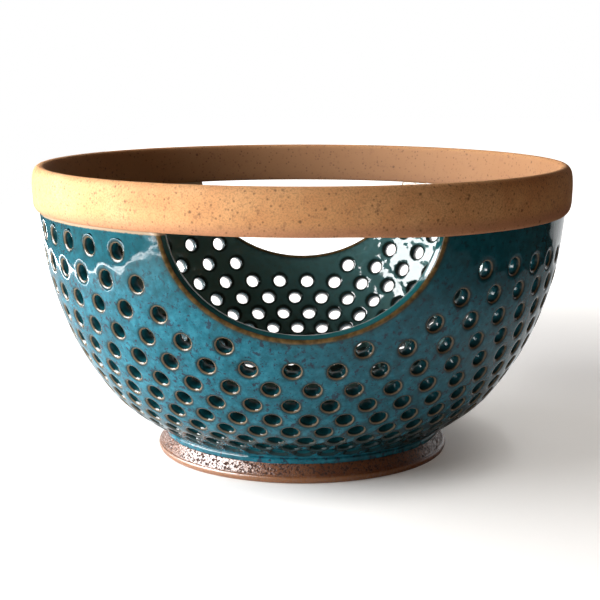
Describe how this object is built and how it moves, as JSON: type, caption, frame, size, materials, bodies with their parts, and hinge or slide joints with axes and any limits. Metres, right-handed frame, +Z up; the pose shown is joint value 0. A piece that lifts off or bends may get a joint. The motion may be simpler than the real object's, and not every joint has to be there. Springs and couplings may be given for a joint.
{
  "type": "ceramic colander",
  "caption": "Round footed bowl with a glazed wall pierced all over for draining, a bare clay band round the rim and two half-moon grips cut under it.",
  "frame": {"origin": "centre of the foot on the surface it stands on", "axes": "+Z up along the bowl's axis, the grips face -Y and +Y, the picture looks along +Y"},
  "size_m": [0.25, 0.25, 0.1353],
  "materials": {
    "rim_clay": "bare speckled stoneware, matte",
    "glaze": "glossy mottled turquoise glaze",
    "foot_clay": "bare toasted stoneware, slight sheen"
  },
  "bodies": {
    "root": {"rim_band": "rim_clay", "bowl_wall": "glaze", "bowl_floor": "glaze", "foot_ring": "foot_clay"}
  },
  "joints": []
}
